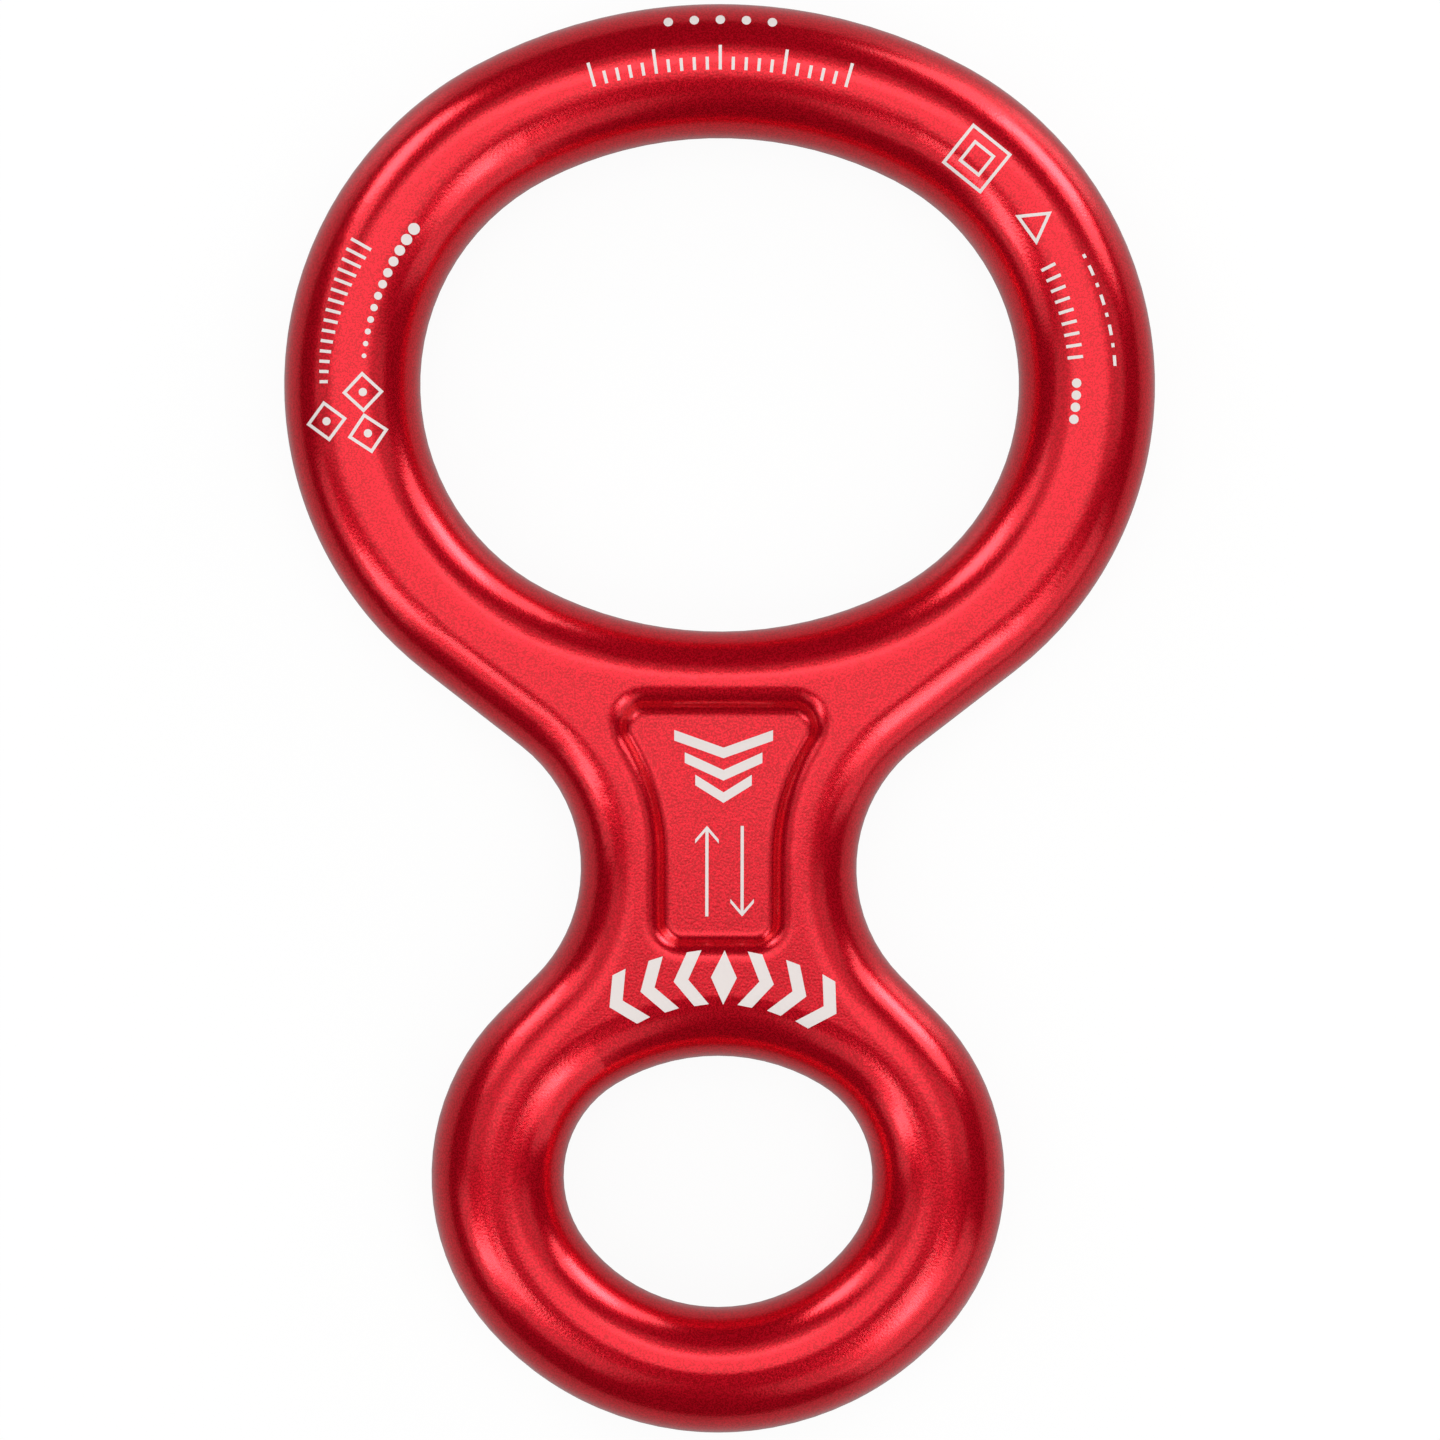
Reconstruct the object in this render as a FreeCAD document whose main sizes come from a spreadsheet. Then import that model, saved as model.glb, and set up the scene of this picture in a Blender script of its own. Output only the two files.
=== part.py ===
import FreeCAD
import Part
import Sketcher
import math
import os

# Figure eight descender: one hot-forged bar of aluminium alloy, formed in the die into a
# large rope eye and a small karabiner eye that share a waisted web. The bar is nearly
# round in the two rings, its rounding is tighter along the waist, and a shallow drafted
# recess is pressed into the web on both faces.
# The part lies flat. X is its width, +Y points at the rope eye, Z is its thickness, and
# the origin is below the middle of its outline, on the plane that it rests on.

NODE = "descender_body"

# Driving sizes in millimetres. A share is a plain ratio of the sizes that it names.
SIZES = {
    # forged section
    "thickness": 11.0,
    "seam_band": 0.2,
    "crown_flat": 0.2,
    # rope eye and the bar round it
    "rope_eye_width": 51.2,
    "rope_eye_length": 42.2,
    "rope_eye_end_share": 0.932,
    "rope_bar_side": 11.6,
    "rope_bar_top": 11.45,
    "rope_ring_end_share": 0.952,
    # karabiner eye and the bar round it
    "clip_eye_width": 26.4,
    "clip_eye_rise": 10.3,
    "clip_eye_drop": 11.2,
    "clip_eye_end_share": 0.893,
    "clip_bar_side": 11.3,
    "clip_bar_bottom": 10.7,
    "clip_ring_end_share": 0.904,
    # waist between the rings
    "waist_width": 23.55,
    "waist_radius": 13.1,
    "waist_edge_radius": 4.3,
    "bridge_edge_radius": 4.6,
    "rope_flank": 10.5,
    "clip_flank": 4.5,
    # recess in the web, on both faces
    "recess_depth": 1.45,
    "recess_draft_share": 0.58,
    "recess_lip_radius": 1.8,
    "recess_floor_radius": 0.9,
    "recess_bridge_land": 0.1,
    "recess_side_land": 1.0,
    "recess_foot_land": 3.0,
    "recess_flare": 3.2,
    "recess_corner_radius": 2.4,
    "recess_side_radius": 18.5,
}

# How near two places have to be to count as one, as a share of the thickness.
NEAR_SHARE = 0.0001

# Sketcher's numbers for the ends and centre of an arc, and for a sketch's own axes.
START, END, CENTRE = range(1, 4)
X_AXIS, Y_AXIS = range(-1, -3, -1)
ORIGIN = (X_AXIS, START)

doc = FreeCAD.newDocument("figure_eight_descender")
sheet = doc.addObject("Spreadsheet::Sheet", "Sizes")
for row, (alias, size) in enumerate(SIZES.items(), start=1):
    sheet.set(f"A{row}", alias)
    sheet.set(f"B{row}", str(size))
    sheet.setAlias(f"B{row}", alias)
doc.recompute()


def value(expression):
    """Work out an expression of the sheet's names as a plain number."""
    return float(sheet.evalExpression(expression))


def crown_radius(half_width, height, end_radius):
    """Radius of the arc that closes an oval of two end arcs and is tangent to both."""
    inset = f"({half_width} - {end_radius})"
    top = f"({inset} * {inset} + {height} * {height} - {end_radius} * {end_radius})"
    return f"({top} / (2 * ({height} - {end_radius})))"


def smaller(*expressions):
    return f"min({'; '.join(expressions)})"


# Sizes worked out from the driving ones, as expressions that the sketches are bound to.
rope_half_width = "(Sizes.rope_eye_width / 2)"
rope_half_length = "(Sizes.rope_eye_length / 2)"
rope_end_radius = f"(Sizes.rope_eye_end_share * {smaller(rope_half_width, rope_half_length)})"
rope_ring_half = f"({rope_half_width} + Sizes.rope_bar_side)"
rope_ring_rise = f"({rope_half_length} + Sizes.rope_bar_top)"
rope_ring_radius = f"(Sizes.rope_ring_end_share * {smaller(rope_ring_half, rope_ring_rise)})"

clip_half_width = "(Sizes.clip_eye_width / 2)"
clip_rise = "Sizes.clip_eye_rise"
clip_drop = "Sizes.clip_eye_drop"
clip_end_radius = f"(Sizes.clip_eye_end_share * {smaller(clip_half_width, clip_rise, clip_drop)})"
clip_ring_half = f"({clip_half_width} + Sizes.clip_bar_side)"
clip_ring_drop = f"({clip_drop} + Sizes.clip_bar_bottom)"
clip_ring_radius = f"(Sizes.clip_ring_end_share * {smaller(clip_ring_half, clip_ring_drop)})"

waist_half = "(Sizes.waist_width / 2)"
waist_centre = f"({waist_half} + Sizes.waist_radius)"


def tangent_drop(ring_radius, inset, flank):
    """How far the waist's centre lies from a ring's, along Y, for a flank of given length."""
    reach = f"({ring_radius} + Sizes.waist_radius)"
    across = f"({waist_centre} - {inset})"
    return f"sqrt({reach} * {reach} + {flank} * {flank} - {across} * {across})"


rope_inset = f"({rope_ring_half} - {rope_ring_radius})"
clip_inset = f"({clip_ring_half} - {clip_ring_radius})"
waist_drop = tangent_drop(rope_ring_radius, rope_inset, "Sizes.rope_flank")
eye_spacing = f"({waist_drop} + {tangent_drop(clip_ring_radius, clip_inset, 'Sizes.clip_flank')})"

# An edge round can be no larger than half of the bar or of the thickness that carries it.
face_round = "((Sizes.thickness - Sizes.seam_band) / 2)"
rope_edge = smaller(
    face_round,
    "(Sizes.rope_bar_side - Sizes.crown_flat) / 2",
    "(Sizes.rope_bar_top - Sizes.crown_flat) / 2",
)
clip_edge = smaller(
    face_round,
    "(Sizes.clip_bar_side - Sizes.crown_flat) / 2",
    "(Sizes.clip_bar_bottom - Sizes.crown_flat) / 2",
)
waist_edge = smaller(face_round, "Sizes.waist_edge_radius")
bridge_edge = smaller(face_round, "Sizes.bridge_edge_radius")

# The lip round starts this far outside the recess's sharp outline.
wall_angle = "(90 deg - atan(Sizes.recess_draft_share))"
lip_reach = f"(Sizes.recess_lip_radius * tan({wall_angle} / 2))"
recess_half = f"({waist_half} - {waist_edge} - Sizes.recess_side_land - {lip_reach})"


def origin_plane(body):
    """The body's own middle plane, half way through its thickness."""
    return next(item for item in body.Origin.OriginFeatures if item.Role == "XY_Plane")


class Profile:
    """A sketch drawn as its right half, then completed about the Y axis."""

    def __init__(self, body, name, height="0"):
        self.sketch = body.newObject("Sketcher::SketchObject", name)
        self.sketch.AttachmentSupport = [(origin_plane(body), "")]
        self.sketch.MapMode = "FlatFace"
        self.sketch.setExpression("AttachmentOffset.Base.z", height)

    def arc(self, centre, radius, start, end):
        circle = Part.Circle(FreeCAD.Vector(*centre, 0), FreeCAD.Vector(0, 0, 1), radius)
        return self.sketch.addGeometry(Part.ArcOfCircle(circle, start, end))

    def line(self, start, end):
        segment = Part.LineSegment(FreeCAD.Vector(*start, 0), FreeCAD.Vector(*end, 0))
        return self.sketch.addGeometry(segment)

    def tie(self, kind, *places):
        return self.sketch.addConstraint(Sketcher.Constraint(kind, *places))

    def size(self, kind, *places, is_):
        index = self.tie(kind, *places, value(is_))
        self.sketch.setExpression(f"Constraints[{index}]", is_)

    def radius(self, arc, is_):
        self.size("Radius", arc, is_=is_)

    def across(self, piece, place, is_):
        self.size("DistanceX", *ORIGIN, piece, place, is_=is_)

    def mirror_pair(self, piece):
        """An arc or line that crosses the Y axis has its two ends level."""
        self.tie("Symmetric", piece, START, piece, END, Y_AXIS)

    def mirror_chain(self, first, chain, last):
        """Repeat a tangent chain of the right half on the left, between two pieces.

        first and last are (piece, place) where the left chain joins them, and chain lists
        (piece, place at the upper end, place at the lower end) from the top down.
        """
        above = first
        for number, (piece, upper, lower) in enumerate(chain):
            shape = self.sketch.Geometry[piece]
            if isinstance(shape, Part.LineSegment):
                start, end = shape.StartPoint, shape.EndPoint
                copy = self.line((-start.x, start.y), (-end.x, end.y))
            else:
                centre = (-shape.Center.x, shape.Center.y)
                begin = math.pi - shape.LastParameter
                copy = self.arc(centre, shape.Radius, begin, math.pi - shape.FirstParameter)
                self.tie("Equal", piece, copy)
                upper, lower = lower, upper
            self.tie("Coincident", *above, copy, upper)
            if number + 1 < len(chain):
                own = chain[number][2]
                self.tie("Symmetric", piece, own, copy, lower, Y_AXIS)
            above = (copy, lower)
        self.tie("Coincident", *above, *last)


def polar(centre, radius, angle):
    return (centre[0] + radius * math.cos(angle), centre[1] + radius * math.sin(angle))


def direction(start, end):
    return math.atan2(end[1] - start[1], end[0] - start[0])


def draw_eye(profile, half_width, rise, drop, end_radius, level):
    """An oval hole of four arcs, with its foot arc split where it crosses the Y axis."""
    crown = crown_radius(half_width, rise, end_radius)
    foot = crown_radius(half_width, drop, end_radius)
    inset = f"({half_width} - {end_radius})"
    side_centre = (value(inset), level)
    crown_centre = (0, level + value(rise) - value(crown))
    foot_centre = (0, level - value(drop) + value(foot))
    up = direction(crown_centre, side_centre)
    down = direction(foot_centre, side_centre)
    crown_arc = profile.arc(crown_centre, value(crown), up, math.pi - up)
    side_arc = profile.arc(side_centre, value(end_radius), down, up)
    foot_arc = profile.arc(foot_centre, value(foot), -math.pi / 2, down)
    profile.radius(crown_arc, crown)
    profile.radius(side_arc, end_radius)
    profile.radius(foot_arc, foot)
    profile.across(side_arc, CENTRE, inset)
    profile.tie("Tangent", crown_arc, START, side_arc, END)
    profile.tie("Tangent", side_arc, START, foot_arc, END)
    profile.mirror_pair(crown_arc)
    profile.tie("PointOnObject", foot_arc, START, Y_AXIS)
    profile.tie("PointOnObject", foot_arc, CENTRE, Y_AXIS)
    chain = [(side_arc, END, START), (foot_arc, END, START)]
    profile.mirror_chain((crown_arc, END), chain, (foot_arc, START))
    return side_arc, foot_arc


def draw_outline(profile):
    """The outer edge: two rings and a waist, joined by straight flanks."""
    crown = crown_radius(rope_ring_half, rope_ring_rise, rope_ring_radius)
    foot = crown_radius(clip_ring_half, clip_ring_drop, clip_ring_radius)
    rope_radius = value(rope_ring_radius)
    clip_radius = value(clip_ring_radius)
    waist_radius = value("Sizes.waist_radius")
    rope_side = (value(rope_inset), 0)
    waist = (value(waist_centre), -value(waist_drop))
    clip_side = (value(clip_inset), -value(eye_spacing))
    rope_turn = math.atan2(value("Sizes.rope_flank"), rope_radius + waist_radius)
    clip_turn = math.atan2(value("Sizes.clip_flank"), clip_radius + waist_radius)
    rope_normal = direction(rope_side, waist) + rope_turn
    clip_normal = direction(clip_side, waist) - clip_turn

    crown_centre = (0, value(rope_ring_rise) - value(crown))
    foot_centre = (0, clip_side[1] - value(clip_ring_drop) + value(foot))
    up = direction(crown_centre, rope_side)
    down = direction(foot_centre, clip_side)
    crown_arc = profile.arc(crown_centre, value(crown), up, math.pi - up)
    rope_arc = profile.arc(rope_side, rope_radius, rope_normal, up)
    rope_line = profile.line(
        polar(rope_side, rope_radius, rope_normal), polar(waist, -waist_radius, rope_normal)
    )
    waist_arc = profile.arc(waist, waist_radius, rope_normal + math.pi, clip_normal + math.pi)
    clip_line = profile.line(
        polar(waist, -waist_radius, clip_normal), polar(clip_side, clip_radius, clip_normal)
    )
    clip_arc = profile.arc(clip_side, clip_radius, down, clip_normal)
    foot_arc = profile.arc(foot_centre, value(foot), math.pi - down, down)

    profile.radius(crown_arc, crown)
    profile.radius(rope_arc, rope_ring_radius)
    profile.radius(waist_arc, "Sizes.waist_radius")
    profile.radius(clip_arc, clip_ring_radius)
    profile.radius(foot_arc, foot)
    profile.across(rope_arc, CENTRE, rope_inset)
    profile.tie("PointOnObject", rope_arc, CENTRE, X_AXIS)
    profile.across(waist_arc, CENTRE, waist_centre)
    profile.across(clip_arc, CENTRE, clip_inset)
    profile.size("Distance", rope_line, is_="Sizes.rope_flank")
    profile.size("Distance", clip_line, is_="Sizes.clip_flank")
    profile.tie("Tangent", crown_arc, START, rope_arc, END)
    profile.tie("Tangent", rope_arc, START, rope_line, START)
    profile.tie("Tangent", rope_line, END, waist_arc, START)
    profile.tie("Tangent", waist_arc, END, clip_line, START)
    profile.tie("Tangent", clip_line, END, clip_arc, END)
    profile.tie("Tangent", clip_arc, START, foot_arc, END)
    profile.mirror_pair(crown_arc)
    profile.mirror_pair(foot_arc)
    chain = [
        (rope_arc, END, START),
        (rope_line, START, END),
        (waist_arc, START, END),
        (clip_line, START, END),
        (clip_arc, END, START),
    ]
    profile.mirror_chain((crown_arc, END), chain, (foot_arc, START))
    return rope_arc, waist_arc, clip_arc


def draw_recess(profile):
    """The sharp mouth of the recess: wide at the rope eye, drawn in beside the waist."""
    top = f"(-({rope_half_length} + {bridge_edge} + Sizes.recess_bridge_land + {lip_reach}))"
    foot_gap = f"({clip_rise} + {clip_edge} + Sizes.recess_foot_land + {lip_reach})"
    foot = f"({foot_gap} - {eye_spacing})"
    corner_x = f"({recess_half} + Sizes.recess_flare - Sizes.recess_corner_radius)"
    corner_radius = value("Sizes.recess_corner_radius")
    side_radius = value("Sizes.recess_side_radius")
    half = value(recess_half)
    head = (value(corner_x), value(top) - corner_radius)
    side_x = half + side_radius
    drop = math.sqrt((side_radius + corner_radius) ** 2 - (side_x - head[0]) ** 2)
    side = (side_x, head[1] - drop)
    heel = (half - corner_radius, value(foot) + corner_radius)
    turn = direction(head, side)

    top_line = profile.line((-head[0], value(top)), (head[0], value(top)))
    head_arc = profile.arc(head, corner_radius, turn, math.pi / 2)
    side_arc = profile.arc(side, side_radius, turn + math.pi, math.pi)
    side_line = profile.line((half, side[1]), (half, heel[1]))
    heel_arc = profile.arc(heel, corner_radius, -math.pi / 2, 0)
    foot_line = profile.line((-heel[0], value(foot)), (heel[0], value(foot)))

    profile.radius(head_arc, "Sizes.recess_corner_radius")
    profile.radius(side_arc, "Sizes.recess_side_radius")
    profile.tie("Equal", head_arc, heel_arc)
    profile.across(head_arc, CENTRE, corner_x)
    profile.across(side_line, START, recess_half)
    profile.size("DistanceY", *ORIGIN, top_line, END, is_=top)
    profile.size("DistanceY", *ORIGIN, foot_line, END, is_=foot)
    profile.tie("Vertical", side_line)
    profile.tie("Tangent", top_line, END, head_arc, END)
    profile.tie("Tangent", head_arc, START, side_arc, START)
    profile.tie("Tangent", side_arc, END, side_line, START)
    profile.tie("Tangent", side_line, END, heel_arc, END)
    profile.tie("Tangent", heel_arc, START, foot_line, END)
    profile.mirror_pair(top_line)
    profile.mirror_pair(foot_line)
    chain = [
        (head_arc, END, START),
        (side_arc, START, END),
        (side_line, START, END),
        (heel_arc, END, START),
    ]
    profile.mirror_chain((top_line, START), chain, (foot_line, START))


def check(item):
    """Stop when an object of the document has failed or holds no sound shape."""
    faults = [state for state in item.State if state in ("Invalid", "Error")]
    if faults:
        raise RuntimeError(f"{item.Name} is {faults}")
    if hasattr(item, "Shape") and not item.isDerivedFrom("App::OriginFeature"):
        if item.Shape.isNull() or not item.Shape.isValid():
            raise RuntimeError(f"{item.Name} has no sound shape")


def level_edges(shape, height):
    """The numbered edges that lie flat at a height above or below the middle plane."""
    near = NEAR_SHARE * SIZES["thickness"]
    middle = shape.Placement.Base.z
    for number, edge in enumerate(shape.Edges, start=1):
        box = edge.BoundBox
        if box.ZLength < near and abs(abs(box.Center.z - middle) - height) < near:
            yield number, edge


def within(edge, mouth):
    """Whether the middle of an edge lies over the recess."""
    place = edge.CenterOfMass - edge.Placement.Base
    return abs(place.x) < mouth.XMax and mouth.YMin < place.y < mouth.YMax


body = doc.addObject("PartDesign::Body", "Forging")

outline = Profile(body, "Outline")
rope_arc, waist_arc, clip_arc = draw_outline(outline)
rope_side, rope_foot = draw_eye(
    outline, rope_half_width, rope_half_length, rope_half_length, rope_end_radius, 0
)
clip_level = outline.sketch.Geometry[clip_arc].Center.y
clip_side, clip_foot = draw_eye(
    outline, clip_half_width, clip_rise, clip_drop, clip_end_radius, clip_level
)
outline.tie("PointOnObject", rope_side, CENTRE, X_AXIS)
outline.tie("Horizontal", clip_side, CENTRE, clip_arc, CENTRE)
doc.recompute()
check(outline.sketch)

blank = body.newObject("PartDesign::Pad", "Blank")
blank.Profile = outline.sketch
blank.SideType = "Symmetric"
blank.setExpression("Length", "Sizes.thickness")
doc.recompute()

mouth = Profile(body, "Mouth", "Sizes.thickness / 2")
draw_recess(mouth)
doc.recompute()
check(mouth.sketch)

recess = body.newObject("PartDesign::Pocket", "Recess")
recess.Profile = mouth.sketch
recess.setExpression("Length", "Sizes.recess_depth")
recess.setExpression("TaperAngle", "-atan(Sizes.recess_draft_share)")
doc.recompute()

both_faces = body.newObject("PartDesign::Mirrored", "BothFaces")
both_faces.Originals = [recess]
both_faces.MirrorPlane = (origin_plane(body), [""])
body.Tip = both_faces
doc.recompute()
if not both_faces.Shape.Volume < recess.Shape.Volume < blank.Shape.Volume:
    raise RuntimeError("the recess is not cut into both faces")

# The recess's sharp edges: the foot of its wall, and its mouth on each face.
face_height = value("Sizes.thickness / 2")
floor_height = face_height - value("Sizes.recess_depth")
mouth_box = mouth.sketch.Shape.BoundBox
mouth_box.enlarge(value(lip_reach) + NEAR_SHARE * SIZES["thickness"])

floor_edges = [f"Edge{number}" for number, edge in level_edges(both_faces.Shape, floor_height)]
floor_round = body.newObject("PartDesign::Fillet", "FloorRound")
floor_round.Base = (both_faces, floor_edges)
floor_round.setExpression("Radius", "Sizes.recess_floor_radius")
doc.recompute()

lip_edges = [
    f"Edge{number}"
    for number, edge in level_edges(floor_round.Shape, face_height)
    if within(edge, mouth_box)
]
lip_round = body.newObject("PartDesign::Fillet", "LipRound")
lip_round.Base = (floor_round, lip_edges)
lip_round.setExpression("Radius", "Sizes.recess_lip_radius")
doc.recompute()

# The part rests on its lower face, with the middle of its length over the origin.
body.setExpression("Placement.Base.z", "Sizes.thickness / 2")
body.setExpression("Placement.Base.y", f"({eye_spacing} + {clip_ring_drop} - {rope_ring_rise}) / 2")
doc.recompute()

# The edge round changes along the bar: it is full in the rings, tighter at the waist and
# a little tighter where the rope eye comes close to the recess.
corners = outline.sketch.Geometry
rope_round = value(rope_edge)
clip_round = value(clip_edge)
waist_round = value(waist_edge)
stations = [
    (corners[rope_arc].EndPoint, rope_round),
    (corners[rope_arc].StartPoint, rope_round),
    (corners[waist_arc].StartPoint, waist_round),
    (corners[waist_arc].EndPoint, waist_round),
    (corners[clip_arc].EndPoint, clip_round),
    (corners[clip_arc].StartPoint, clip_round),
    (corners[rope_side].EndPoint, rope_round),
    (corners[rope_side].StartPoint, rope_round),
    (corners[rope_foot].StartPoint, value(bridge_edge)),
    (corners[clip_side].EndPoint, clip_round),
    (corners[clip_side].StartPoint, clip_round),
    (corners[clip_foot].StartPoint, clip_round),
]


def round_at(vertex):
    """The edge round at a corner of the outline or of an eye."""
    place = vertex.Point - body.Placement.Base
    place = FreeCAD.Vector(abs(place.x), place.y, 0)
    return min(stations, key=lambda station: station[0].distanceToPoint(place))[1]


rounds = [
    (number, round_at(edge.firstVertex(True)), round_at(edge.lastVertex(True)))
    for number, edge in level_edges(body.Shape, face_height)
    if not within(edge, mouth_box)
]
descender = doc.addObject("Part::Fillet", "Descender")
descender.Label = NODE
descender.Base = body
descender.Edges = rounds
doc.recompute()

for item in doc.Objects:
    check(item)
if not 0 < descender.Shape.Volume < body.Shape.Volume:
    raise RuntimeError("the edge rounds took nothing off the forging")

os.makedirs("parts", exist_ok=True)
descender.Shape.exportStep(f"parts/{descender.Label}.step")
box = descender.Shape.optimalBoundingBox()
print(f"{descender.Label}: {box.XLength:.2f} x {box.YLength:.2f} x {box.ZLength:.2f} mm")
print(f"volume {descender.Shape.Volume:.0f} cubic mm in {len(descender.Shape.Faces)} faces")
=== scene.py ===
import bpy
import math
from mathutils import Euler, Matrix, Vector
from mathutils.bvhtree import BVHTree


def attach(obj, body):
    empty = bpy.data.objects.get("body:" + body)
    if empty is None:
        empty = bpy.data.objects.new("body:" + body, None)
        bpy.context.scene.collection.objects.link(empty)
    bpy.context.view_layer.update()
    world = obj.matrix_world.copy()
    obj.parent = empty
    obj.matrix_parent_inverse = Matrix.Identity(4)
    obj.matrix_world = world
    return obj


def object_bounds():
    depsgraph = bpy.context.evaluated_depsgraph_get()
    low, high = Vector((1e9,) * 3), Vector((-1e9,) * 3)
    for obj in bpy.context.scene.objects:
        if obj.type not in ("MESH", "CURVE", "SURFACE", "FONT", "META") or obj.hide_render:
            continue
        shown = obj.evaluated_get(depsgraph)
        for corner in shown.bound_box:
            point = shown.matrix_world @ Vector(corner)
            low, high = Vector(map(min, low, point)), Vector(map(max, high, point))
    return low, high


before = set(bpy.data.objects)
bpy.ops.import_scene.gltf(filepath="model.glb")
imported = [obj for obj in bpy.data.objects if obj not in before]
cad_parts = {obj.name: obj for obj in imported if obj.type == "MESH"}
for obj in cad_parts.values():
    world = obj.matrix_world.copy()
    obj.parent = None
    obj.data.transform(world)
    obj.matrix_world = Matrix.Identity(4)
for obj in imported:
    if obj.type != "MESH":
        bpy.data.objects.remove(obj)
cad_low, cad_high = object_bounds()

# A figure eight descender of red anodised aluminium, lying on a pale table and seen from
# straight above. Lengths are in metres and angles in degrees.
MM = 0.001
MICRON = 0.001 * MM
BODY = "descender_body"

# The photograph: its width in pixels, the size of a pixel on the object, the point of the
# object under its middle, and how far the picture is turned.
IMAGE_SIDE = 1440
PIXEL = 0.085525 * MM
VIEW_CENTRE = (0.09 * MM, -0.15 * MM)
VIEW_TURN = 0.115

# The camera, which shows what lies between two shares of its distance to the object.
SENSOR = 36.0
CAMERA_DISTANCE = 0.7
NEAR_SHARE = 0.1
FAR_SHARE = 10

# Soft boxes that face the object: name, azimuth from +X towards +Y, elevation, half angle
# across and half angle along, how far the box is rolled, and its brightness, where 1 is white.
# Each hangs a little farther away than the one before, so that no two lie in one plane.
LAMP_DISTANCE = 0.75
LAMP_STEP = 0.01
LAMPS = (
    ("overhead", 90, 77, 22, 15, 0, 0.27),
    ("overhead_high", 90, 80.5, 19, 14, 0, 0.5),
    ("overhead_broad", 90, 80.5, 50, 13, 0, 0.42),
    ("overhead_strip", 88, 69, 16, 5, 0, 1.05),
    ("overhead_tail", 90, 58, 20, 7, 0, 0.3),
    ("left_back", 140, 30.5, 18, 9, 50, 1.15),
    ("left_back_core", 133, 25, 9, 8, 20, 3.4),
    ("right_back", 48, 17.5, 23, 12, -29, 2.1),
    ("right_back_core", 45, 17, 9, 7, 0, 4.8),
    ("left_front_high", 226, 67, 2.2, 6, 0, 4.2),
    ("left_front", 212, 50, 3.6, 12, -12, 4.2),
    ("left_front_wide", 234, 52, 12, 13, 0, 0.5),
    ("left_front_low", 205, 34, 14, 11, 0, 0.6),
    ("right_front_high", 311, 68, 2.2, 5, 0, 3.6),
    ("right_front", 316, 49, 9, 12, 0, 1.2),
    ("right_front_core", 312, 54, 2.8, 10, 0, 4.4),
    ("right_front_wide", 295, 44, 10, 13, 0, 0.45),
    ("right_front_low", 318, 23, 20, 17, 0, 0.65),
)

# Room light on matt surfaces and in reflections.
ROOM_LIGHT = 0.56
ROOM_REFLECTION = 0.002

# Table: its colour to the camera and to the object, and how much of plain white it shows to
# the camera and in a reflection. The rest of what it shows takes the shadow.
TABLE_SIDE = 3.0
TABLE_COLOUR = 0.9
TABLE_BOUNCE = 0.22
TABLE_GLOSS_ROUGHNESS = 0.28
TABLE_WHITE = 0.93
TABLE_WHITE_MIRRORED = 0.12


def node_tree(material):
    """The node tree of a material or a world, emptied."""
    material.use_nodes = True
    tree = material.node_tree
    tree.nodes.clear()
    return tree


def add(tree, kind, **sockets):
    """A node with plain values for its sockets, where spaces are written as underscores."""
    node = tree.nodes.new(kind)
    for name, value in sockets.items():
        node.inputs[name.replace("_", " ")].default_value = value
    return node


def scaled(tree, value, factor):
    """The output of a node, times a plain number."""
    node = add(tree, "ShaderNodeMath")
    node.operation = "MULTIPLY"
    node.inputs[1].default_value = factor
    tree.links.new(value, node.inputs[0])
    return node.outputs[0]


def grey(level):
    return (level, level, level, 1.0)


def camera():
    """A camera straight above the object, which frames it as the photograph does."""
    data = bpy.data.cameras.new("camera")
    data.sensor_width = SENSOR
    data.lens = SENSOR * CAMERA_DISTANCE / (IMAGE_SIDE * PIXEL)
    data.clip_start = NEAR_SHARE * CAMERA_DISTANCE
    data.clip_end = FAR_SHARE * CAMERA_DISTANCE
    seen = bpy.data.objects.new("camera", data)
    middle = (cad_low.z + cad_high.z) / 2
    seen.location = (*VIEW_CENTRE, middle + CAMERA_DISTANCE)
    seen.rotation_euler = Euler((0, 0, math.radians(VIEW_TURN)))
    bpy.context.scene.collection.objects.link(seen)
    bpy.context.scene.camera = seen


def lamp(distance, name, azimuth, elevation, half_across, half_along, roll, brightness):
    """A soft box that faces the object."""
    turn = Matrix.Rotation(math.radians(azimuth + 90), 4, "Z")
    tip = Matrix.Rotation(math.radians(90 - elevation), 4, "X")
    spin = Matrix.Rotation(math.radians(roll), 4, "Z")
    aim = turn @ tip @ spin
    data = bpy.data.lights.new(name, "AREA")
    data.shape = "RECTANGLE"
    data.size = 2 * distance * math.tan(math.radians(half_across))
    data.size_y = 2 * distance * math.tan(math.radians(half_along))
    data.energy = brightness * math.pi * data.size * data.size_y
    item = bpy.data.objects.new(name, data)
    item.matrix_world = Matrix.Translation(aim @ Vector((0, 0, distance))) @ aim
    item.visible_camera = False
    bpy.context.scene.collection.objects.link(item)


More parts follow.
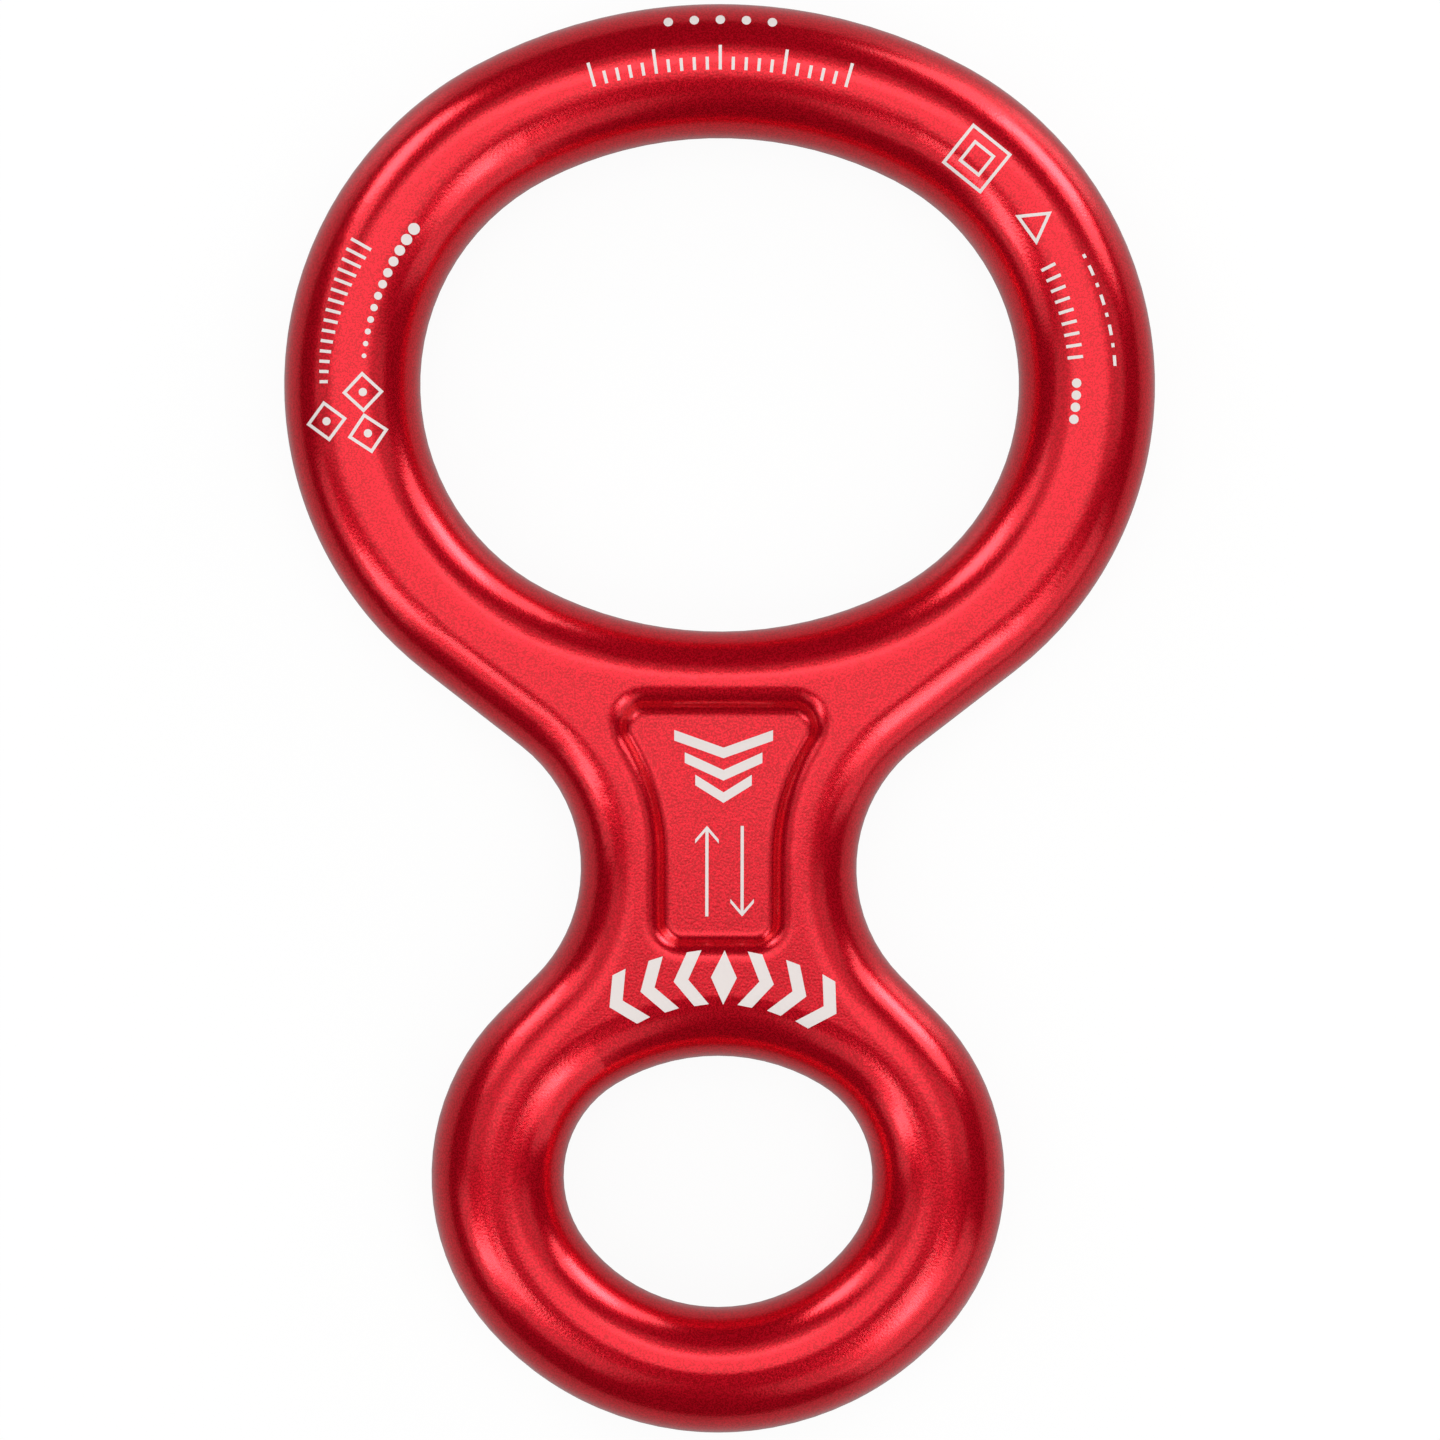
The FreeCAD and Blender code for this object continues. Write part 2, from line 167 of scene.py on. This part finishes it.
def room():
    """White to the camera, soft light on matt surfaces, and a dark studio in reflections."""
    world = bpy.data.worlds.new("room")
    bpy.context.scene.world = world
    tree = node_tree(world)
    path = add(tree, "ShaderNodeLightPath")
    light = add(tree, "ShaderNodeBackground", Color=grey(1.0), Strength=ROOM_LIGHT)
    dark = add(tree, "ShaderNodeBackground", Color=grey(1.0), Strength=ROOM_REFLECTION)
    white = add(tree, "ShaderNodeBackground", Color=grey(1.0), Strength=1.0)
    glossy = add(tree, "ShaderNodeMixShader")
    shown = add(tree, "ShaderNodeMixShader")
    out = add(tree, "ShaderNodeOutputWorld")
    tree.links.new(path.outputs["Is Glossy Ray"], glossy.inputs["Fac"])
    tree.links.new(light.outputs[0], glossy.inputs[1])
    tree.links.new(dark.outputs[0], glossy.inputs[2])
    tree.links.new(path.outputs["Is Camera Ray"], shown.inputs["Fac"])
    tree.links.new(glossy.outputs[0], shown.inputs[1])
    tree.links.new(white.outputs[0], shown.inputs[2])
    tree.links.new(shown.outputs[0], out.inputs["Surface"])


def table():
    """A white table: the camera sees it as white, with a light shadow of the object."""
    half = TABLE_SIDE / 2
    corners = [(-half, -half, 0), (half, -half, 0), (half, half, 0), (-half, half, 0)]
    mesh = bpy.data.meshes.new("table")
    mesh.from_pydata(corners, [], [(0, 1, 2, 3)])
    top = bpy.data.objects.new("table", mesh)
    bpy.context.scene.collection.objects.link(top)
    material = bpy.data.materials.new("table")
    tree = node_tree(material)
    path = add(tree, "ShaderNodeLightPath")
    seen = add(tree, "ShaderNodeBsdfDiffuse", Color=grey(TABLE_COLOUR))
    bounce = add(
        tree,
        "ShaderNodeBsdfPrincipled",
        Base_Color=grey(TABLE_BOUNCE),
        Roughness=TABLE_GLOSS_ROUGHNESS,
    )
    white = add(tree, "ShaderNodeEmission", Color=grey(1.0), Strength=1.0)
    plain = add(tree, "ShaderNodeMixShader")
    shown = add(tree, "ShaderNodeMixShader")
    straight = scaled(tree, path.outputs["Is Camera Ray"], TABLE_WHITE)
    mirrored = scaled(tree, path.outputs["Is Glossy Ray"], TABLE_WHITE_MIRRORED)
    whiteness = add(tree, "ShaderNodeMath")
    whiteness.operation = "ADD"
    out = add(tree, "ShaderNodeOutputMaterial")
    tree.links.new(path.outputs["Is Camera Ray"], plain.inputs["Fac"])
    tree.links.new(bounce.outputs[0], plain.inputs[1])
    tree.links.new(seen.outputs[0], plain.inputs[2])
    tree.links.new(straight, whiteness.inputs[0])
    tree.links.new(mirrored, whiteness.inputs[1])
    tree.links.new(whiteness.outputs[0], shown.inputs["Fac"])
    tree.links.new(plain.outputs[0], shown.inputs[1])
    tree.links.new(white.outputs[0], shown.inputs[2])
    tree.links.new(shown.outputs[0], out.inputs["Surface"])
    mesh.materials.append(material)


# Red dye in a blasted and anodised skin: the metal under it mirrors softly, the skin
# scatters a deep red, and its own clear surface adds a pale sheen.
DYE = (1.0, 0.002, 0.022, 1.0)
METAL_SHARE = 0.74
BLAST_ROUGHNESS = 0.235
SKIN_ROUGHNESS = 0.17
SKIN_IOR = 1.48
SHEEN = 0.1
SHEEN_ROUGHNESS = 0.35

# Grain of the blasting: its size, how many finer layers it holds, and its depth.
GRAIN_SIZE = 0.2 * MM
GRAIN_DETAIL = 0.5
GRAIN_DEPTH = 6 * MICRON

# Seams between two curved stretches are shaded as one surface.
SOFT_RADIUS = 0.5 * MM
SOFT_SAMPLES = 6

# Pits of the blasting hold more dye, so the skin is speckled.
PIT_DYE = (0.69, 0.0, 0.01, 1.0)
PIT_SIZE = 0.16 * MM
PIT_RANGE = (0.42, 0.58)


def red_anodised():
    material = bpy.data.materials.new("anodised_skin")
    tree = node_tree(material)
    place = add(tree, "ShaderNodeTexCoord")
    grain = add(tree, "ShaderNodeTexNoise", Scale=1 / GRAIN_SIZE, Detail=GRAIN_DETAIL)
    bump = add(tree, "ShaderNodeBump", Distance=GRAIN_DEPTH)
    soft = add(tree, "ShaderNodeBevel", Radius=SOFT_RADIUS)
    soft.samples = SOFT_SAMPLES
    pits = add(tree, "ShaderNodeTexNoise", Scale=1 / PIT_SIZE, Detail=0.0)
    spread_out = add(tree, "ShaderNodeMapRange", From_Min=PIT_RANGE[0], From_Max=PIT_RANGE[1])
    dye = add(tree, "ShaderNodeMixRGB", Color1=PIT_DYE, Color2=DYE)
    skin = add(
        tree,
        "ShaderNodeBsdfPrincipled",
        Base_Color=DYE,
        Metallic=METAL_SHARE,
        Roughness=BLAST_ROUGHNESS,
        Specular_IOR_Level=0.0,
        Coat_Weight=1.0,
        Coat_Roughness=SKIN_ROUGHNESS,
        Coat_IOR=SKIN_IOR,
        Sheen_Weight=SHEEN,
        Sheen_Roughness=SHEEN_ROUGHNESS,
    )
    out = add(tree, "ShaderNodeOutputMaterial")
    tree.links.new(place.outputs["Object"], grain.inputs["Vector"])
    tree.links.new(place.outputs["Object"], pits.inputs["Vector"])
    tree.links.new(pits.outputs["Fac"], spread_out.inputs["Value"])
    tree.links.new(spread_out.outputs["Result"], dye.inputs["Fac"])
    tree.links.new(dye.outputs["Color"], skin.inputs["Base Color"])
    tree.links.new(grain.outputs["Fac"], bump.inputs["Height"])
    tree.links.new(soft.outputs["Normal"], bump.inputs["Normal"])
    tree.links.new(bump.outputs["Normal"], skin.inputs["Normal"])
    tree.links.new(bump.outputs["Normal"], skin.inputs["Coat Normal"])
    tree.links.new(skin.outputs[0], out.inputs["Surface"])
    return material


# White of the lasered marks.
WHITE = (0.69, 0.63, 0.61, 1.0)
WHITE_ROUGHNESS = 0.6


def laser_white():
    material = bpy.data.materials.new("laser_white")
    tree = node_tree(material)
    paint = add(tree, "ShaderNodeBsdfPrincipled", Base_Color=WHITE, Roughness=WHITE_ROUGHNESS)
    out = add(tree, "ShaderNodeOutputMaterial")
    tree.links.new(paint.outputs[0], out.inputs["Surface"])
    return material


# Marks lie a hair above the skin, cut into cells so small that they follow it.
MARK_LIFT = 25 * MICRON
MARK_CELL = 0.35 * MM
LINE = 0.27 * MM
DOT_SIDES = 20

# Tracks that marks follow round an eye: half their width and half their length. Two run on
# the ring round the rope eye, and one over the small eye. Angles on them start at +X.
ROPE_EYE_Y = 28.5 * MM
OUTER_TRACK = (33.6 * MM, 27.6 * MM)
INNER_TRACK = (30.3 * MM, 25.2 * MM)
SMALL_EYE_Y = -39.7 * MM
SMALL_TRACK = (17.7 * MM, 17.7 * MM)


def at(x, y, turn=0.0):
    """A place on the top of the part, with its own axes turned by some degrees."""
    return Matrix.Translation((x, y, 0)) @ Matrix.Rotation(math.radians(turn), 4, "Z")


def on_track(track, eye_y, angle, shift=0.0):
    """A place on a track, or off it by a shift, whose own Y axis points away from the eye."""
    across, along = track
    cosine = math.cos(math.radians(angle))
    sine = math.sin(math.radians(angle))
    outward = math.degrees(math.atan2(sine / along, cosine / across))
    return at(across * cosine, eye_y + along * sine, outward - 90) @ at(0, shift)


def on_ring(track, angle, shift=0.0):
    """A place on the ring round the rope eye."""
    return on_track(track, ROPE_EYE_Y, angle, shift)


def spread(first, last, count):
    """Evenly spaced values from the first to the last."""
    return [first + (last - first) * step / (count - 1) for step in range(count)]


class Marks:
    """Flat marks, drawn as a plan and then laid on the top of the body as one piece."""

    def __init__(self, name):
        self.name = name
        self.points = []
        self.faces = []

    def put(self, place, x, y):
        self.points.append(place @ Vector((x, y, 0)))

    def patch(self, place, a, b, c, d):
        """A patch with four corners, given anticlockwise."""
        a, b, c, d = (Vector(corner) for corner in (a, b, c, d))
        across = max(1, math.ceil(max((b - a).length, (c - d).length) / MARK_CELL))
        along = max(1, math.ceil(max((d - a).length, (c - b).length) / MARK_CELL))
        first = len(self.points)
        for row in range(along + 1):
            low = a.lerp(d, row / along)
            high = b.lerp(c, row / along)
            for column in range(across + 1):
                self.put(place, *low.lerp(high, column / across))
        for row in range(along):
            for column in range(across):
                corner = first + row * (across + 1) + column
                above = corner + across + 1
                self.faces.append((corner, corner + 1, above + 1, above))

    def bar(self, place, width, height):
        x, y = width / 2, height / 2
        self.patch(place, (-x, -y), (x, -y), (x, y), (-x, y))

    def diamond(self, place, width, height):
        x, y = width / 2, height / 2
        self.patch(place, (0, -y), (x, 0), (0, y), (-x, 0))

    def dot(self, place, diameter):
        """A disc of rings, whose innermost ring is a fan about its middle."""
        rings = max(1, math.ceil(diameter / 2 / MARK_CELL))
        first = len(self.points)
        self.put(place, 0, 0)
        for ring in range(1, rings + 1):
            radius = diameter / 2 * ring / rings
            for side in range(DOT_SIDES):
                angle = math.tau * side / DOT_SIDES
                self.put(place, radius * math.cos(angle), radius * math.sin(angle))
        for side in range(DOT_SIDES):
            after = (side + 1) % DOT_SIDES
            self.faces.append((first, first + 1 + side, first + 1 + after))
            for ring in range(rings - 1):
                inner = first + 1 + ring * DOT_SIDES
                outer = inner + DOT_SIDES
                self.faces.append((inner + side, outer + side, outer + after, inner + after))

    def outline(self, place, sides, radius, line):
        """A regular polygon drawn with a line, one corner on its own Y axis."""
        inside = radius - line / math.cos(math.pi / sides)
        turns = [math.tau * side / sides for side in range(sides + 1)]
        outer, inner = (
            [(-size * math.sin(turn), size * math.cos(turn)) for turn in turns]
            for size in (radius, inside)
        )
        for a, b, c, d in zip(outer, outer[1:], inner[1:], inner):
            self.patch(place, a, b, c, d)

    def chevron(self, place, width, height, line):
        """An angle that points along its own X axis."""
        tip, back = width / 2, -width / 2
        top = height / 2
        self.patch(place, (tip - line, 0), (tip, 0), (back + line, top), (back, top))
        self.patch(place, (back, -top), (back + line, -top), (tip, 0), (tip - line, 0))

    def arrow(self, place, length, line, head_width, head_height, head_line):
        """An arrow along its own X axis, whose shaft meets the inside of its head."""
        tip, back = length / 2, -length / 2
        side = line / 2
        meet = tip - head_line
        edge = meet - side * (head_width - head_line) / (head_height / 2)
        self.chevron(place @ at(tip - head_width / 2, 0), head_width, head_height, head_line)
        self.patch(place, (back, -side), (edge, -side), (meet, 0), (back, 0))
        self.patch(place, (back, 0), (meet, 0), (edge, side), (back, side))

    def lay(self, surface, material):
        """Lay the plan on a surface, straight down from above."""
        laid = []
        for point in self.points:
            above = Vector((point.x, point.y, 2 * cad_high.z))
            spot, normal, _, _ = surface.ray_cast(above, Vector((0, 0, -1)))
            laid.append(spot + normal * MARK_LIFT)
        mesh = bpy.data.meshes.new(self.name)
        mesh.from_pydata(laid, [], self.faces)
        mesh.materials.append(material)
        for face in mesh.polygons:
            face.use_smooth = True
        item = bpy.data.objects.new(self.name, mesh)
        bpy.context.scene.collection.objects.link(item)
        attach(item, "root")


# Each row of marks on a track is written as its first angle, its last angle and its number
# of marks. A shift is how far a mark lies outside its track.

# Crown of the ring.
CROWN_TICKS = (109, 71, 21)
CROWN_LONG_EVERY = 5
CROWN_LONG_TICK = 2.1 * MM
CROWN_SHORT_TICK = 1.1 * MM
CROWN_FOOT_SHIFT = -1.05 * MM
CROWN_DOTS = (97, 83, 5)
CROWN_DOT = 0.8 * MM
CROWN_DOT_SHIFT = 3.3 * MM

# Left of the ring, where bars and dots grow from one to the next.
LEFT_BARS = (180, 155, 15)
LEFT_BAR = 0.7 * MM
LEFT_BAR_GROWTH = 0.09 * MM
LEFT_DOTS = (175, 149, 12)
LEFT_DOT = 0.4 * MM
LEFT_DOT_GROWTH = 0.055 * MM
LEFT_DIAMONDS = ((OUTER_TRACK, 187), (INNER_TRACK, 182), (INNER_TRACK, 190))
LEFT_DIAMOND_RADIUS = 1.75 * MM
LEFT_DIAMOND_DOT = 0.7 * MM

# Right of the ring.
SQUARE_ANGLE = 46
SQUARE_SHIFT = 1.2 * MM
SQUARE_TURN = 45
SQUARE_RADII = (3.0 * MM, 1.6 * MM)
TRIANGLE_ANGLE = 31
TRIANGLE_SHIFT = 0.9 * MM
TRIANGLE_RADIUS = 1.8 * MM
RIGHT_DASHES = (23, 4, 8)
RIGHT_LONG_DASH = 0.9 * MM
RIGHT_SHORT_DASH = 0.35 * MM
RIGHT_TICKS = (23, 5, 9)
RIGHT_TICK = 1.3 * MM
RIGHT_DOTS = (0, -7, 4)
RIGHT_DOT = 0.8 * MM

# Floor of the recess, where each angle is narrower than the one above it.
PANEL_ANGLES = 3
PANEL_FIRST = (0.4 * MM, -2.2 * MM)
PANEL_PITCH = 1.9 * MM
PANEL_ANGLE_DEPTH = 2.4 * MM
PANEL_ANGLE_WIDTH = 8.4 * MM
PANEL_ANGLE_LOSS = 1.8 * MM
PANEL_ANGLE_LINE = 0.9 * MM
ARROWS_CENTRE = (0.5 * MM, -13.0 * MM)
ARROWS_APART = 3.0 * MM
ARROW_LENGTH = 7.7 * MM
ARROW_HEAD_DEPTH = 1.5 * MM
ARROW_HEAD_WIDTH = 2.0 * MM
ARROW_HEAD_LINE = 0.34 * MM

# Arc over the small eye, with its middle and its pitch as angles.
BOLD_MIDDLE = 88.5
BOLD_PITCH = 9.5
BOLD_ANGLES_A_SIDE = 3
BOLD_HEIGHT = 4.6 * MM
BOLD_ANGLE_DEPTH = 2.7 * MM
BOLD_ANGLE_LINE = 1.25 * MM
BOLD_DIAMOND_WIDTH = 2.2 * MM


def crown_marks():
    """A scale of ticks that stand on one line, and dots outside it."""
    marks = Marks("marks_crown")
    for step, angle in enumerate(spread(*CROWN_TICKS)):
        height = CROWN_SHORT_TICK if step % CROWN_LONG_EVERY else CROWN_LONG_TICK
        marks.bar(on_ring(OUTER_TRACK, angle, height / 2 + CROWN_FOOT_SHIFT), LINE, height)
    for angle in spread(*CROWN_DOTS):
        marks.dot(on_ring(OUTER_TRACK, angle, CROWN_DOT_SHIFT), CROWN_DOT)
    return marks


def left_marks():
    """A row of growing bars, a row of growing dots, and three diamonds with a dot."""
    marks = Marks("marks_left")
    for step, angle in enumerate(spread(*LEFT_BARS)):
        marks.bar(on_ring(OUTER_TRACK, angle), LINE, LEFT_BAR + step * LEFT_BAR_GROWTH)
    for step, angle in enumerate(spread(*LEFT_DOTS)):
        marks.dot(on_ring(INNER_TRACK, angle), LEFT_DOT + step * LEFT_DOT_GROWTH)
    for track, angle in LEFT_DIAMONDS:
        place = on_ring(track, angle)
        marks.outline(place, 4, LEFT_DIAMOND_RADIUS, LINE)
        marks.dot(place, LEFT_DIAMOND_DOT)
    return marks


def right_marks():
    """A square in a square, a triangle, and rows of dashes, ticks and dots."""
    marks = Marks("marks_right")
    square = on_ring(INNER_TRACK, SQUARE_ANGLE, SQUARE_SHIFT) @ at(0, 0, SQUARE_TURN)
    for radius in SQUARE_RADII:
        marks.outline(square, 4, radius, LINE)
    triangle = on_ring(INNER_TRACK, TRIANGLE_ANGLE, TRIANGLE_SHIFT)
    marks.outline(triangle, 3, TRIANGLE_RADIUS, LINE)
    for step, angle in enumerate(spread(*RIGHT_DASHES)):
        width = RIGHT_LONG_DASH if step % 2 else RIGHT_SHORT_DASH
        marks.bar(on_ring(OUTER_TRACK, angle), width, LINE)
    for angle in spread(*RIGHT_TICKS):
        marks.bar(on_ring(INNER_TRACK, angle), LINE, RIGHT_TICK)
    for angle in spread(*RIGHT_DOTS):
        marks.dot(on_ring(INNER_TRACK, angle), RIGHT_DOT)
    return marks


def panel_marks():
    """Nested angles that point down, over one arrow up and one arrow down."""
    marks = Marks("marks_panel")
    x, y = PANEL_FIRST
    for step in range(PANEL_ANGLES):
        down = at(x, y - step * PANEL_PITCH, -90)
        width = PANEL_ANGLE_WIDTH - step * PANEL_ANGLE_LOSS
        marks.chevron(down, PANEL_ANGLE_DEPTH, width, PANEL_ANGLE_LINE)
    x, y = ARROWS_CENTRE
    head = (ARROW_HEAD_DEPTH, ARROW_HEAD_WIDTH, ARROW_HEAD_LINE)
    for side, turn in ((-1, 90), (1, -90)):
        marks.arrow(at(x + side * ARROWS_APART / 2, y, turn), ARROW_LENGTH, LINE, *head)
    return marks


def small_eye_marks():
    """Bold angles that point away from a diamond, to both sides of it."""
    marks = Marks("marks_small_eye")
    for step in range(-BOLD_ANGLES_A_SIDE, BOLD_ANGLES_A_SIDE + 1):
        place = on_track(SMALL_TRACK, SMALL_EYE_Y, BOLD_MIDDLE - step * BOLD_PITCH)
        if step == 0:
            marks.diamond(place, BOLD_DIAMOND_WIDTH, BOLD_HEIGHT)
        else:
            away = place if step > 0 else place @ at(0, 0, 180)
            marks.chevron(away, BOLD_ANGLE_DEPTH, BOLD_HEIGHT, BOLD_ANGLE_LINE)
    return marks


bpy.context.scene.view_settings.view_transform = "Standard"
camera()
room()
table()
for number, entry in enumerate(LAMPS):
    lamp(LAMP_DISTANCE + number * LAMP_STEP, *entry)

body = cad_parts[BODY]
body.data.materials.clear()
body.data.materials.append(red_anodised())

corners = [body.matrix_world @ vertex.co for vertex in body.data.vertices]
surface = BVHTree.FromPolygons(corners, [face.vertices[:] for face in body.data.polygons])
white = laser_white()
for design in (crown_marks, left_marks, right_marks, panel_marks, small_eye_marks):
    design().lay(surface, white)
